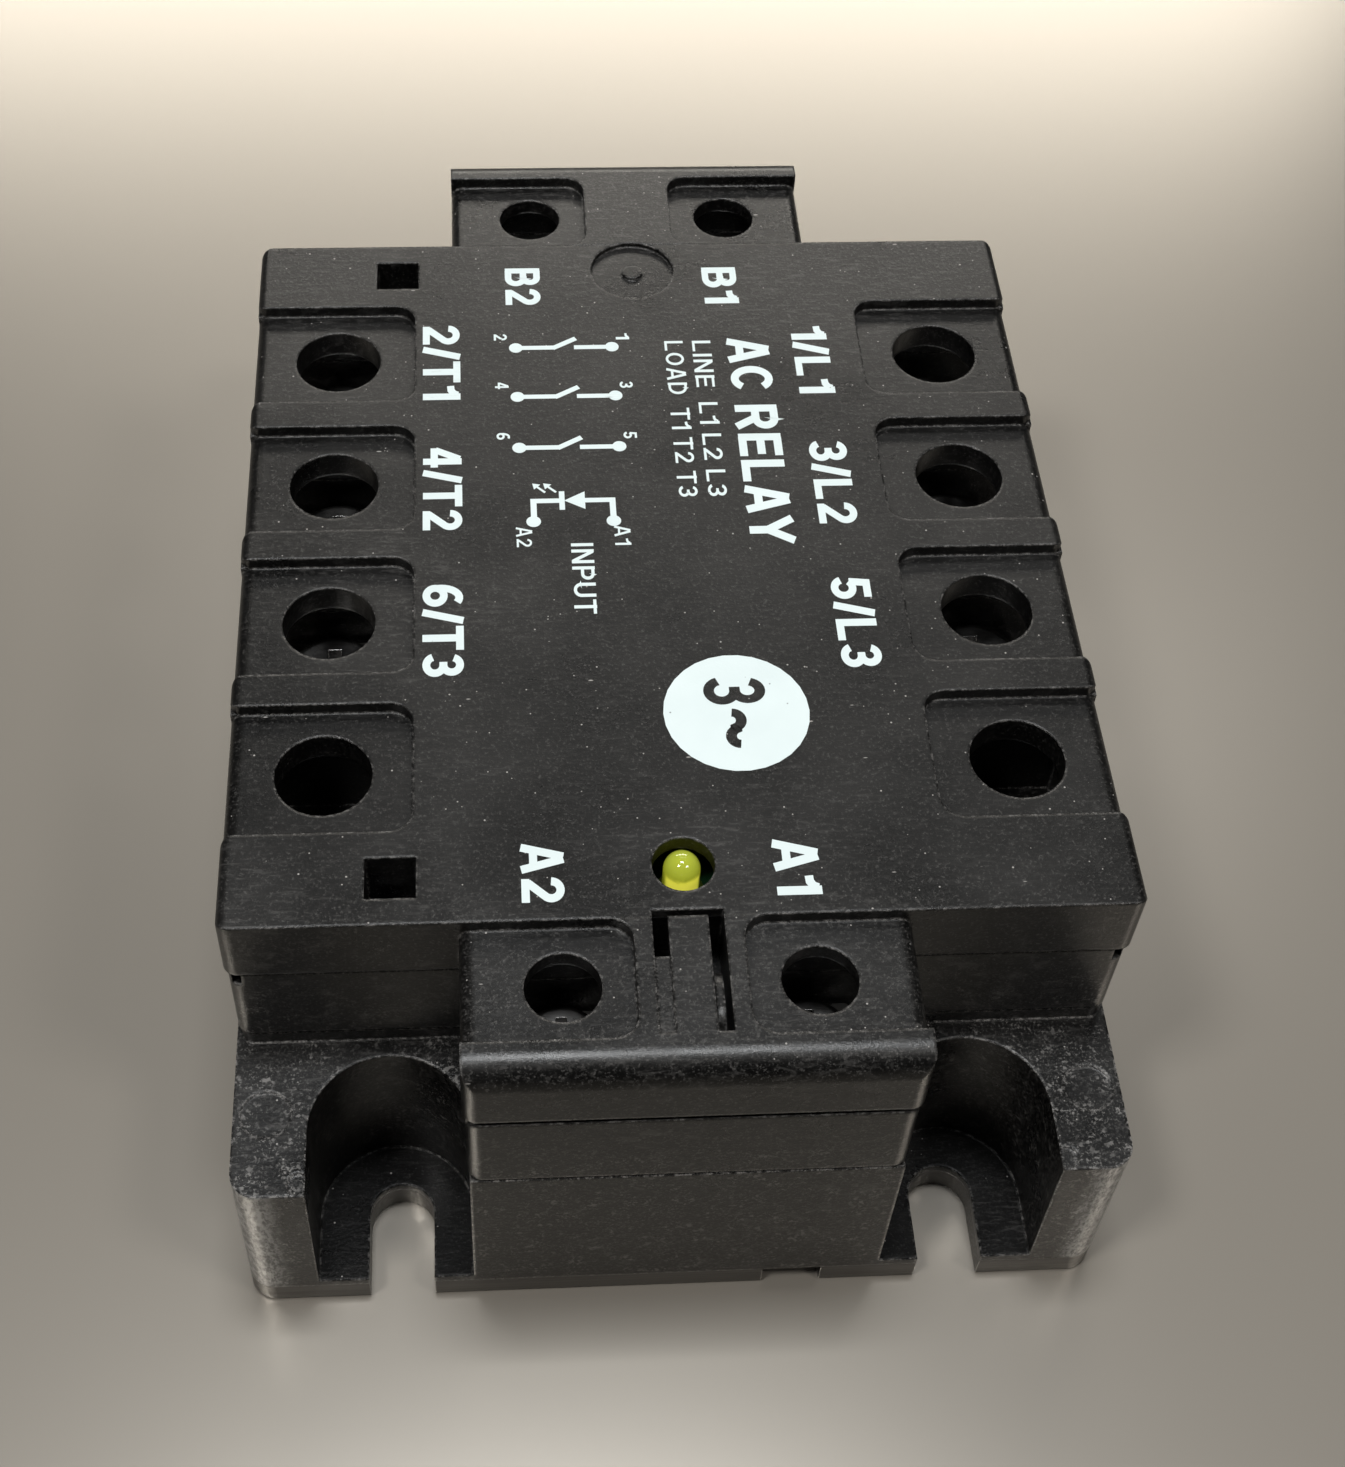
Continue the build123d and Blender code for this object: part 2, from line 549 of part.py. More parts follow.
def make_screw(x, y, shank_r, head_r, head_z, tip_z):
    """Captive clamp screw with a straight slot and a cross recess."""
    head = rod(x, y, head_r, head_z)
    head = fillet(head.edges().group_by(Axis.Z)[-1], HEAD_EDGE_SHARE * (head_z[1] - head_z[0]))
    solid = head + rod(x, y, shank_r, (tip_z, head_z[0] + EPS))
    solid = chamfer(solid.edges().group_by(Axis.Z)[0], TIP_CHAMFER_SHARE * shank_r)
    top = head_z[1]
    slot_half = SLOT_SHARE * head_r
    arm = CROSS_SHARE * head_r
    solid -= block((x - head_r, x + head_r), (y - slot_half, y + slot_half), (top - SLOT_DEPTH, top + CLEAR))
    solid -= block((x - slot_half, x + slot_half), (y - arm, y + arm), (top - CROSS_DEPTH, top + CLEAR))
    solid -= block((x - arm, x + arm), (y - slot_half, y + slot_half), (top - CROSS_DEPTH, top + CLEAR))
    return solid


def make_control_bar(side, end):
    """Straight strip from a control clamp to the circuit board."""
    x = side * CONTROL_X
    y = end * CONTROL_Y
    solid = block((x - CONTROL_BAR_HALF_W, x + CONTROL_BAR_HALF_W), mirrored(CONTROL_BAR_Y, end),
                  CONTROL_BAR_Z)
    solid += block((x - CONTROL_LEG_HALF_W, x + CONTROL_LEG_HALF_W), mirrored(CONTROL_LEG_Y, end),
                   (CONTROL_BAR_Z[0], BOARD_Z[0]))
    collar_r, collar_z = CONTROL_COLLAR
    solid += rod(x, y, collar_r, (collar_z, CONTROL_BAR_Z[0] + EPS))
    return solid - rod(x, y, CONTROL_SCREW_R + THREAD_GAP, (collar_z - CLEAR, CONTROL_BAR_Z[1] + CLEAR))


def make_board():
    """Circuit board drilled for the lamp leads and the gate pins."""
    solid = rounded_block((-BOARD_HALF_W, BOARD_HALF_W), (-BOARD_HALF_L, BOARD_HALF_L), BOARD_Z,
                          BOARD_CORNER_R)
    through = (BOARD_Z[0] - CLEAR, BOARD_Z[1] + CLEAR)
    for side in SIDES:
        solid -= rod(side * LED_LEAD_X, LED_Y, LED_HOLE_R, through)
        for y in PHASE_Y:
            solid -= rod(side * CHIP_X, y, GATE_HOLE_R, through)
    return solid


def make_led_lens():
    """Domed lamp body with its flange."""
    solid = rod(0, LED_Y, LED_R, (LED_BASE_Z, LED_DOME_Z))
    solid += Pos(0, LED_Y, LED_DOME_Z) * Sphere(LED_R)
    return solid + rod(0, LED_Y, LED_FLANGE_R, (LED_BASE_Z, LED_BASE_Z + LED_FLANGE_T))


def make_optocoupler(y):
    """Small moulded coupler on six bent legs."""
    half_x, half_y = COUPLER_HALF
    solid = block((COUPLER_X - half_x, COUPLER_X + half_x), (y - half_y, y + half_y), COUPLER_Z)
    for side in SIDES:
        leg_x = (COUPLER_X + side * COUPLER_LEG_X[0], COUPLER_X + side * COUPLER_LEG_X[1])
        for row in LEG_ROWS:
            solid += block(leg_x, (y + row - LEG_HALF_W, y + row + LEG_HALF_W),
                           (BOARD_Z[1], COUPLER_LEG_TOP_Z))
    return solid


def make_control_chip():
    """Driver chip between the couplers and the lamp."""
    half_x, half_y = CONTROL_CHIP_HALF
    solid = block((-half_x, half_x), (CONTROL_CHIP_Y - half_y, CONTROL_CHIP_Y + half_y), CONTROL_CHIP_Z)
    for end in SIDES:
        leg_y = (CONTROL_CHIP_Y + end * CONTROL_CHIP_LEG_Y[0], CONTROL_CHIP_Y + end * CONTROL_CHIP_LEG_Y[1])
        for row in LEG_ROWS:
            solid += block((row - LEG_HALF_W, row + LEG_HALF_W), leg_y, (BOARD_Z[1], CONTROL_CHIP_LEG_TOP_Z))
    return solid


def make_capacitor():
    """Upright smoothing capacitor."""
    x, y = CAPACITOR_PLACE
    can = rod(x, y, CAPACITOR_R, (BOARD_Z[1], CAPACITOR_TOP_Z))
    return fillet(can.edges().group_by(Axis.Z)[-1], CAPACITOR_EDGE_R)


def make_substrate(y):
    """White insulating tile under one pair of power chips."""
    half_x, half_y = SUBSTRATE_HALF
    return block((-half_x, half_x), (y - half_y, y + half_y), (PLATE_T, SUBSTRATE_TOP_Z))


def make_thyristor(side, y):
    """Bare power chip on its tile."""
    x = side * CHIP_X
    return block((x - CHIP_HALF, x + CHIP_HALF), (y - CHIP_HALF, y + CHIP_HALF),
                 (SUBSTRATE_TOP_Z, CHIP_TOP_Z))


nodes = {
    "base_plate": make_base_plate(),
    "base_housing": make_base_housing(),
    "terminal_housing": make_terminal_housing(),
    "cover": make_cover(),
    "assembly_screws": make_assembly_screws(),
    "circuit_board": make_board(),
    "led_lens": make_led_lens(),
    "led_lead_left": rod(-LED_LEAD_X, LED_Y, LED_LEAD_R, LED_LEAD_Z),
    "led_lead_right": rod(LED_LEAD_X, LED_Y, LED_LEAD_R, LED_LEAD_Z),
    "control_chip": make_control_chip(),
    "smoothing_capacitor": make_capacitor(),
}

for phase, phase_y in enumerate(PHASE_Y, start=1):
    nodes[f"ceramic_substrate_{phase}"] = make_substrate(phase_y)
    nodes[f"optocoupler_{phase}"] = make_optocoupler(phase_y)
    for side, label in ((-1, "load"), (1, "line")):
        nodes[f"thyristor_{phase}_{label}"] = make_thyristor(side, phase_y)
        nodes[f"gate_pin_{phase}_{label}"] = rod(side * CHIP_X, phase_y, GATE_PIN_R,
                                                 (CHIP_TOP_Z, GATE_PIN_TOP_Z))

for name, (side, y) in POWER_TERMINALS.items():
    x = side * POWER_X
    nodes[f"power_bar_{name}"] = make_power_bar(side, y)
    nodes[f"power_clamp_{name}"] = make_clamp(x, y, POWER_CLAMP_HALF, POWER_CLAMP_Z, POWER_SCREW_R)
    nodes[f"power_screw_{name}"] = make_screw(x, y, POWER_SCREW_R, POWER_HEAD_R, POWER_HEAD_Z, POWER_TIP_Z)

for name, (side, end) in CONTROL_TERMINALS.items():
    x = side * CONTROL_X
    y = end * CONTROL_Y
    nodes[f"control_bar_{name}"] = make_control_bar(side, end)
    nodes[f"control_clamp_{name}"] = make_clamp(x, y, CONTROL_CLAMP_HALF, CONTROL_CLAMP_Z, CONTROL_SCREW_R)
    nodes[f"control_screw_{name}"] = make_screw(x, y, CONTROL_SCREW_R, CONTROL_HEAD_R, CONTROL_HEAD_Z,
                                                CONTROL_TIP_Z)

for name, shape in nodes.items():
    export_step(shape, f"parts/{name}.step")
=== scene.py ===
import json
import math

import bmesh
import bpy
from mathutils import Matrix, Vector


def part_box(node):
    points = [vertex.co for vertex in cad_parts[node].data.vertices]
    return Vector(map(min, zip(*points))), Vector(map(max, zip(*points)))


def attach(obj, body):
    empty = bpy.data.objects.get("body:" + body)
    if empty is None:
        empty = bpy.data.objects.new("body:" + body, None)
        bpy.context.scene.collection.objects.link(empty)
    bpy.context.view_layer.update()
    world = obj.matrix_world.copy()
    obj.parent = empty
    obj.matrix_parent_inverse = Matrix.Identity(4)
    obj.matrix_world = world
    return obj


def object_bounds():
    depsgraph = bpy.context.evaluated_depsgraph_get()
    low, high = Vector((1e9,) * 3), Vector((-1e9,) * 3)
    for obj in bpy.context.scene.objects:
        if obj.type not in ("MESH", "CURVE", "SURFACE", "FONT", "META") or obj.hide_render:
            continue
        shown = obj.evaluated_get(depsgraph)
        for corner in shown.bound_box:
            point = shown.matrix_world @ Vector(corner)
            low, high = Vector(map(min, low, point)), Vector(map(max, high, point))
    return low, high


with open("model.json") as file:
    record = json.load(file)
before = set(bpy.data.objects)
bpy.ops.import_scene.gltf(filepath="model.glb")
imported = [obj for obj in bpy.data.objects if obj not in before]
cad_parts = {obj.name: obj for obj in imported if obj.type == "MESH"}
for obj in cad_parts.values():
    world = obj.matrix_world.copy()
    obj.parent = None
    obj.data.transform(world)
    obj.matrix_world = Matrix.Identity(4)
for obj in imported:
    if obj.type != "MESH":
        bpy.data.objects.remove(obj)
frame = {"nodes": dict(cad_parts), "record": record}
cad_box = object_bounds()

# Blender works in metres and the design in millimetres. The mounting face is at z = 0, X runs
# from the T side to the L side, and Y from the A1/A2 end to the B1/B2 end.
MM = 0.001
HOUSING = "housing"
HALF_WIDTH = cad_box[1][0]
HALF_LENGTH = cad_box[1][1]
nodes = frame["nodes"]

# The printed field is sunk into the top of the cover
LABEL_DEPTH = 0.03 * MM
LABEL_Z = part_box("cover")[1].z - LABEL_DEPTH

# Printed ink: sunk a little into the moulding, and standing a little proud of the printed field. A layer
# above another is a step higher, and shapes in one layer differ by a hair, over so many levels
INK_SINK = 0.01 * MM
INK_HEIGHT = 0.008 * MM
INK_STEP = 0.008 * MM
INK_HAIR = 0.0006 * MM
INK_LEVELS = 8


# ---------------------------------------------------------------- materials

# Sockets of the Mix node that take and give colours
MIX_FIRST, MIX_SECOND, MIX_RESULT = 6, 7, 2


class Surface:
    """A procedural material, with short calls for the nodes that it is made of."""

    def __init__(self, name, **constants):
        self.material = bpy.data.materials.new(name)
        self.material.use_nodes = True
        self.tree = self.material.node_tree
        self.shader = self.tree.nodes["Principled BSDF"]
        self.place = self.add("ShaderNodeTexCoord").outputs["Object"]
        for socket, value in constants.items():
            self.shader.inputs[socket.replace("_", " ")].default_value = value

    def add(self, kind, inputs=None, **settings):
        """A new node. Each of its inputs is a constant, or the output of another node."""
        node = self.tree.nodes.new(kind)
        for key, value in settings.items():
            setattr(node, key, value)
        for key, value in (inputs or {}).items():
            if isinstance(value, bpy.types.NodeSocket):
                self.tree.links.new(value, node.inputs[key])
            else:
                node.inputs[key].default_value = value
        return node

    def set(self, socket, value):
        """Feeds the output of a node to the shader."""
        self.tree.links.new(value, self.shader.inputs[socket])

    def stretched(self, turn, scale):
        """The surface's own coordinates, scaled on each axis and turned about Z, in radians."""
        inputs = {"Vector": self.place, "Rotation": (0, 0, turn), "Scale": scale}
        return self.add("ShaderNodeMapping", inputs, vector_type="POINT").outputs[0]

    def noise(self, scale, detail=2.0, distortion=0.0, roughness=0.5, place=None):
        """Noise about one half, in the surface's own coordinates unless others are given."""
        inputs = {"Vector": place or self.place, "Scale": scale, "Detail": detail,
                  "Distortion": distortion, "Roughness": roughness}
        return self.add("ShaderNodeTexNoise", inputs).outputs["Fac"]

    def step(self, value, low, high, out_low=0.0, out_high=1.0):
        """Smooth step from out_low to out_high as the value goes from low to high."""
        inputs = {"Value": value, "From Min": low, "From Max": high, "To Min": out_low, "To Max": out_high}
        return self.add("ShaderNodeMapRange", inputs, interpolation_type="SMOOTHSTEP").outputs[0]

    def math(self, operation, first, second=0.0):
        return self.add("ShaderNodeMath", {0: first, 1: second}, operation=operation).outputs[0]

    def blend(self, share, first, second):
        """The first colour, with a share of the second."""
        inputs = {0: share, MIX_FIRST: first, MIX_SECOND: second}
        return self.add("ShaderNodeMix", inputs, data_type="RGBA").outputs[MIX_RESULT]

    def specks(self, scale, radius, density, place=None):
        """Small dots, one in the middle of a few of the cells of a Voronoi pattern."""
        cells = self.add("ShaderNodeTexVoronoi", {"Vector": place or self.place, "Scale": scale})
        pick = self.add("ShaderNodeSeparateColor", {0: cells.outputs["Color"]}).outputs[0]
        chosen = self.math("LESS_THAN", pick, density)
        dot = self.step(cells.outputs["Distance"], radius, 0.5 * radius)
        return self.math("MULTIPLY", chosen, dot)

    def scratches(self, turn, spacing, length, fineness):
        """Hairlines along one direction, in patches."""
        place = self.stretched(turn, (1 / length, 1 / spacing, 1 / length))
        line = self.noise(1.0, detail=1.0, distortion=0.15, place=place)
        off_centre = self.math("ABSOLUTE", self.math("SUBTRACT", line, 0.5))
        hair = self.step(off_centre, fineness, 0.0)
        patches = self.noise(45.0, detail=1.0, place=self.stretched(turn + 1.0, (1, 1, 1)))
        return self.math("MULTIPLY", hair, self.step(patches, 0.56, 0.66))

    def rounded(self, radius):
        """Normals of edges rounded to a radius, and how far each place is into such a round."""
        bevel = self.add("ShaderNodeBevel", {"Radius": radius}, samples=6).outputs[0]
        flat = self.add("ShaderNodeNewGeometry").outputs["Normal"]
        same = self.add("ShaderNodeVectorMath", {0: bevel, 1: flat}, operation="DOT_PRODUCT").outputs["Value"]
        return bevel, self.step(same, 0.98, 0.90)

    def bump(self, height, distance, normal=None):
        """Relief as deep as the distance, on the given normals or else the shape's own."""
        inputs = {"Height": height, "Distance": distance, "Strength": 1.0}
        if normal is not None:
            inputs["Normal"] = normal
        self.set("Normal", self.add("ShaderNodeBump", inputs).outputs[0])


def grey(level, warmth=0.0):
    """A neutral colour, a little warmer where warmth is positive."""
    return (level * (1 + warmth), level, level * (1 - warmth), 1.0)


# Each pair is where a change in the housing's grain, wear, painted glints and sheen, or the painted shade of
# the lug-well floors begins, and where it is full. Flanks are measured from the centre line, ends along Y,
# and lug corners along X and Y added together. The last two are heights
FLANKS = (HALF_WIDTH - 6 * MM, HALF_WIDTH - 2 * MM)
ENDS = (HALF_LENGTH - 18 * MM, HALF_LENGTH + 4 * MM)
END_WANDER = 14 * MM
LUG_CORNERS = (HALF_WIDTH + HALF_LENGTH - 4.2 * MM, HALF_WIDTH + HALF_LENGTH - 1.8 * MM)
BELOW_COVER = (30 * MM, 22 * MM)
LUG_FLOORS = (12 * MM, 8 * MM)


def housing_plastic():
    """Black glass-filled moulding: spark-eroded grain with painted glints, fibre streaks, dust, a painted
    sheen on the lug corners, painted shade on the lug-well floors, and edges lightened partly by wear and
    partly as painted highlight.
    """
    look = Surface("housing_plastic", IOR=1.5)
    grain = look.noise(3600.0, detail=3.0, roughness=0.75)
    cloud = look.noise(75.0, detail=6.0, roughness=0.6)
    streaks = look.noise(1.0, detail=4.0, distortion=0.6, roughness=0.65,
                         place=look.stretched(0.75, (520, 2600, 900)))
    rounded_normal, edge = look.rounded(0.40 * MM)
    facing = look.add("ShaderNodeNewGeometry").outputs["Normal"]
    upward = look.step(look.add("ShaderNodeSeparateXYZ", {0: facing}).outputs["Z"], 0.2, 0.9)
    place = look.add("ShaderNodeSeparateXYZ", {0: look.place}).outputs

    # The grain shows most on the lugs and least on the printed field. The floors of the lug wells get painted
    # shade: fewer flecks and glints, and less shine
    along = look.math("ABSOLUTE", place["Y"])
    across = look.math("ABSOLUTE", place["X"])
    reach = look.math("ADD", along, look.math("MULTIPLY", look.noise(110.0, detail=3.0), END_WANDER))
    outer = look.step(reach, *ENDS)
    lug = look.math("MULTIPLY", outer, look.step(place["Z"], *BELOW_COVER, 0.16, 1.0))
    well_floor_shade = look.math("MULTIPLY", upward, look.step(place["Z"], *LUG_FLOORS))
    lug = look.math("MULTIPLY", lug, look.math("SUBTRACT", 1.0, well_floor_shade))

    colour = look.blend(look.step(cloud, 0.36, 0.66), grey(0.002, 0.02), grey(0.005, 0.03))
    patch = look.step(look.noise(38.0, detail=3.0), 0.44, 0.60, 0.35, 1.0)
    streak = look.math("MULTIPLY", look.step(streaks, 0.50, 0.70), patch)
    colour = look.blend(streak, colour, grey(0.034, 0.03))
    fleck = look.math("MULTIPLY", look.step(grain, 0.54, 0.68), look.step(outer, 0.0, 1.0, 0.7, 1.0))
    # Fewer flecks on the floors of the lug wells: painted shade
    fleck = look.math("MULTIPLY", fleck, look.step(well_floor_shade, 0.0, 1.0, 1.0, 0.3))
    colour = look.blend(fleck, colour, grey(0.058, 0.03))
    # Painted glints: grains lit pale as if catching the light, in clumps on the lugs, and thicker on the
    # lugs' flanks as a painted sheen
    clumps = look.step(look.noise(520.0, detail=4.0), 0.38, 0.66, 0.15, 1.0)
    fine = look.step(look.noise(3300.0, detail=3.0, roughness=0.75), 0.54, 0.66)
    coarse = look.step(look.noise(1900.0, detail=2.0), 0.58, 0.68)
    flank_sheen = look.step(across, *FLANKS, 0.5, 1.6)
    glint_amount = look.math("MAXIMUM", flank_sheen, upward)
    grain_glints = look.math("MULTIPLY", look.math("MAXIMUM", fine, coarse), look.math("MULTIPLY", clumps, lug))
    grain_glints = look.math("MULTIPLY", grain_glints, look.step(upward, 0.2, 0.9, glint_amount, 1.0))
    colour = look.blend(grain_glints, colour, grey(0.22, 0.03))

    # A painted sheen on the outer corners of the lugs, streaked like scuffs. Every edge is rubbed lighter,
    # most of all those of the lugs: partly wear, partly a painted edge highlight
    corner = look.step(look.math("ADD", across, along), *LUG_CORNERS)
    corner = look.math("MULTIPLY", corner, look.step(upward, 0.0, 0.5, 1.0, 0.0))
    scuffs = look.noise(1.0, detail=4.0, roughness=0.7, place=look.stretched(0.8, (2600, 1100, 1100)))
    corner_sheen = look.math("MULTIPLY", corner, look.step(scuffs, 0.40, 0.62, 0.2, 1.0))
    colour = look.blend(corner_sheen, colour, grey(0.46, 0.01))
    # Lighter edges: partly rubbed wear, partly a painted highlight along the rounds
    wear_and_edge_highlight = look.math("MULTIPLY", edge, look.step(look.noise(2200.0, detail=4.0, roughness=0.8), 0.47, 0.62))
    wear_and_edge_highlight = look.math("MULTIPLY", wear_and_edge_highlight, look.step(lug, 0.0, 1.0, 0.70, 0.95))
    colour = look.blend(wear_and_edge_highlight, colour, look.blend(lug, grey(0.26, 0.03), grey(0.38, 0.03)))

    dust = look.math("MAXIMUM", look.specks(620.0, 0.065, 0.60), look.specks(1100.0, 0.09, 0.30))
    dust = look.math("MAXIMUM", dust, look.specks(560.0, 0.05, 0.40, look.stretched(0.7, (0.30, 1, 1))))
    dust = look.math("MULTIPLY", dust, look.step(upward, 0.0, 1.0, 0.15, 1.0))
    colour = look.blend(look.math("MULTIPLY", dust, 0.85), colour, grey(0.42, 0.04))
    look.set("Base Color", colour)

    rough = look.step(cloud, 0.3, 0.7, 0.26, 0.36)
    look.set("Roughness", look.math("ADD", rough, look.math("MULTIPLY", dust, 0.4)))
    look.set("Specular IOR Level", look.step(well_floor_shade, 0.0, 1.0, 0.5, 0.12))
    height = look.math("ADD", grain, look.math("MULTIPLY", streaks, 0.5))
    look.bump(height, 0.022 * MM, rounded_normal)
    return look.material


def plate_metal():
    """Dull milled plate: cloudy tone, milling lines along X and lighter edges."""
    look = Surface("plate_metal", Metallic=1.0)
    mill = look.noise(1.0, detail=3.0, place=look.stretched(0.0, (40, 4200, 4200)))
    cloud = look.noise(60.0, detail=4.0)
    rounded_normal, edge = look.rounded(0.15 * MM)
    colour = look.blend(cloud, grey(0.09, 0.02), grey(0.19, 0.03))
    colour = look.blend(look.math("MULTIPLY", edge, 0.5), colour, grey(0.5, 0.02))
    look.set("Base Color", colour)
    look.set("Roughness", look.step(mill, 0.3, 0.7, 0.34, 0.52))
    look.bump(mill, 0.012 * MM, rounded_normal)
    return look.material


def plated_steel(name, level, warmth, low_rough):
    """Turned and plated metal: fine machining, blotches and brighter edges."""
    look = Surface(name, Metallic=1.0)
    turning = look.noise(1400.0, detail=3.0)
    cloud = look.noise(260.0, detail=4.0)
    rounded_normal, edge = look.rounded(0.10 * MM)
    colour = look.blend(cloud, grey(0.72 * level, warmth), grey(level, warmth))
    colour = look.blend(look.math("MULTIPLY", edge, 0.5), colour, grey(min(1.0, 1.2 * level), warmth))
    look.set("Base Color", colour)
    look.set("Roughness", look.step(cloud, 0.3, 0.7, low_rough, low_rough + 0.18))
    look.bump(turning, 0.008 * MM, rounded_normal)
    return look.material


def white_ceramic():
    """Unglazed alumina tile with a faint mottle."""
    look = Surface("substrate_ceramic")
    cloud = look.noise(700.0, detail=4.0)
    look.set("Base Color", look.blend(cloud, grey(0.66, 0.02), grey(0.82, 0.01)))
    look.set("Roughness", look.step(cloud, 0.3, 0.7, 0.5, 0.68))
    look.bump(cloud, 0.01 * MM)
    return look.material


def moulded_epoxy():
    """Dark moulded package of the small components."""
    look = Surface("chip_black")
    grain = look.noise(5000.0, detail=2.0)
    look.set("Base Color", look.blend(grain, grey(0.012), grey(0.035)))
    look.set("Roughness", look.step(grain, 0.3, 0.7, 0.42, 0.6))
    look.bump(grain, 0.01 * MM)
    return look.material


def board_laminate():
    """Green solder resist over a woven laminate."""
    look = Surface("board_laminate", Coat_Weight=0.4)
    weave = look.add("ShaderNodeTexWave", {"Vector": look.place, "Scale": 520.0, "Distortion": 1.2})
    mottle = look.noise(300.0, detail=4.0)
    look.set("Base Color", look.blend(mottle, (0.010, 0.055, 0.022, 1), (0.022, 0.11, 0.04, 1)))
    look.set("Roughness", look.step(mottle, 0.3, 0.7, 0.28, 0.42))
    look.bump(weave.outputs["Fac"], 0.006 * MM)
    return look.material


def sleeved_can():
    """Dark plastic sleeve of the smoothing capacitor."""
    look = Surface("capacitor_can")
    cloud = look.noise(900.0, detail=3.0)
    look.set("Base Color", look.blend(cloud, (0.02, 0.025, 0.05, 1), (0.035, 0.042, 0.08, 1)))
    look.set("Roughness", look.step(cloud, 0.3, 0.7, 0.28, 0.4))
    look.bump(cloud, 0.006 * MM)
    return look.material


def lamp_lens():
    """Tinted yellow-green lens with painted light: painted shade to olive above, a painted bright crescent
    low on the A1/A2 side, a painted glow, and the flange painted dark as shade.
    """
    low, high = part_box("led_lens")
    look = Surface("lamp_lens", IOR=1.5, Transmission_Weight=0.3, Coat_Weight=0.4)
    place = look.add("ShaderNodeSeparateXYZ", {0: look.place}).outputs
    swirl = look.noise(900.0, detail=3.0, distortion=1.0)
    wander = look.math("MULTIPLY", look.math("SUBTRACT", swirl, 0.5), 0.5 * MM)
    height = look.math("ADD", place["Z"], wander)
    # Painted light: a bright crescent low on the A1/A2 side, where light comes through, and painted shade
    # towards the top
    painted_crescent = look.math("MULTIPLY", look.step(height, high.z - 0.9 * MM, high.z - 1.8 * MM),
                         look.step(place["Y"], low.y + 1.6 * MM, low.y + 0.9 * MM))
    shade = look.math("MULTIPLY", look.step(height, high.z - 2.2 * MM, high.z - 0.3 * MM),
                      look.step(place["Y"], low.y, high.y, 0.7, 1.0))
    colour = look.blend(shade, (0.74, 0.80, 0.05, 1), (0.46, 0.53, 0.06, 1))
    colour = look.blend(painted_crescent, colour, (1.0, 0.95, 0.10, 1))
    # The flange, down in its hole, painted dark as shade
    above_shaded_flange = look.step(place["Z"], low.z + 0.9 * MM, low.z + 2.0 * MM)
    colour = look.blend(above_shaded_flange, (0.05, 0.07, 0.01, 1), colour)
    look.set("Base Color", colour)
    # Painted glow: the lens gives off light in its own colour, most in the crescent and none at the flange
    look.set("Emission Color", colour)
    look.set("Emission Strength", look.math("MULTIPLY", above_shaded_flange, look.step(painted_crescent, 0.0, 1.0, 0.12, 0.50)))
    look.set("Roughness", look.step(swirl, 0.3, 0.7, 0.06, 0.14))
    look.bump(swirl, 0.004 * MM)
    return look.material


def white_ink():
    """Pad-printed white ink: slightly uneven, with pinholes and soft scuffs."""
    look = Surface("white_ink")
    cloud = look.noise(220.0, detail=4.0)
    fine = look.noise(3000.0, detail=2.0)
    colour = look.blend(cloud, (0.68, 0.785, 0.80, 1), (0.78, 0.885, 0.90, 1))
    pinholes = look.specks(1500.0, 0.16, 0.06)
    rubbed = look.math("MULTIPLY", look.scratches(0.9, 0.35 * MM, 14 * MM, 0.010), 0.5)
    bare = look.math("MAXIMUM", look.math("MULTIPLY", pinholes, 0.7), rubbed)
    look.set("Base Color", look.blend(bare, colour, grey(0.10)))
    look.set("Roughness", look.step(cloud, 0.3, 0.7, 0.42, 0.56))
    look.bump(fine, 0.010 * MM)
    return look.material


FINISHES = {
    "housing_plastic": housing_plastic(),
    "plate_metal": plate_metal(),
    "zinc_steel": plated_steel("zinc_steel", 0.34, 0.02, 0.16),
    "terminal_brass": plated_steel("terminal_brass", 0.50, 0.25, 0.26),
    "substrate_ceramic": white_ceramic(),
    "chip_black": moulded_epoxy(),
    "tinned_wire": plated_steel("tinned_wire", 0.70, 0.0, 0.18),
    "board_laminate": board_laminate(),
    "lamp_lens": lamp_lens(),
    "capacitor_can": sleeved_can(),
}
INK = white_ink()

for part in frame["record"]["subparts"]:
    surface = nodes[part["node"]].data
    surface.materials.clear()
    surface.materials.append(FINISHES[part["material_slot"]])


# ---------------------------------------------------------------- printed legends

STEP_ANGLE = 12
FEWEST_STEPS = 4
MITRE_LIMIT = 0.4
SAME_POINT = 1e-6


def bend(centre_x, centre_y, radius_x, radius_y, start, end):
    """Points along part of an ellipse, between two angles in degrees."""
    steps = max(FEWEST_STEPS, round(abs(end - start) / STEP_ANGLE))
    angles = [math.radians(start + (end - start) * k / steps) for k in range(steps + 1)]
    return [(centre_x + radius_x * math.cos(a), centre_y + radius_y * math.sin(a)) for a in angles]


